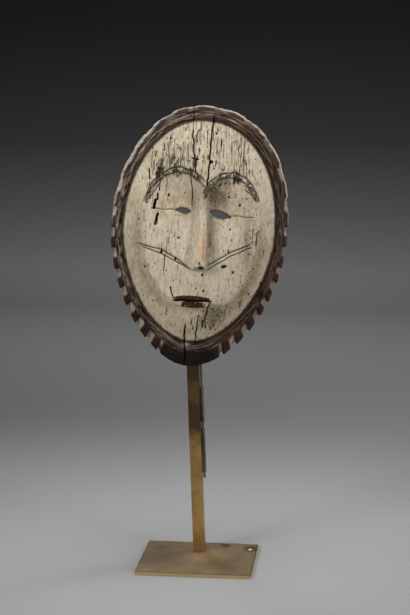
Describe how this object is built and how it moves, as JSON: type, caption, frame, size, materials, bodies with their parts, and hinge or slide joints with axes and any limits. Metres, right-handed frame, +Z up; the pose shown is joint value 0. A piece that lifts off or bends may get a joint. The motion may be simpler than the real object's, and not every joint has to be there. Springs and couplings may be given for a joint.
{
  "type": "carved wooden mask on a stand",
  "caption": "Oval hollow wooden face mask with a toothed rim, worn white clay, and a brass plate, post and bracket that hold it upright.",
  "frame": {"origin": "centre of the base plate's underside", "axes": "+Z up, X along the plate's width, front of the plate and of the mask towards -Y; the mask is turned a little to +X and its top leans to +X"},
  "size_m": [0.2479, 0.139, 0.6495],
  "materials": {
    "wood_with_kaolin": "matt, worn white clay over dark wood",
    "plate_brass": "tarnished, satin",
    "post_brass": "satin, lightly tarnished",
    "bracket_brass": "dull, darkened"
  },
  "bodies": {
    "root": {"mask": "wood_with_kaolin", "base_plate": "plate_brass", "post": "post_brass", "sleeve_upper": "bracket_brass", "sleeve_lower": "bracket_brass", "bracket": "bracket_brass"}
  },
  "joints": []
}
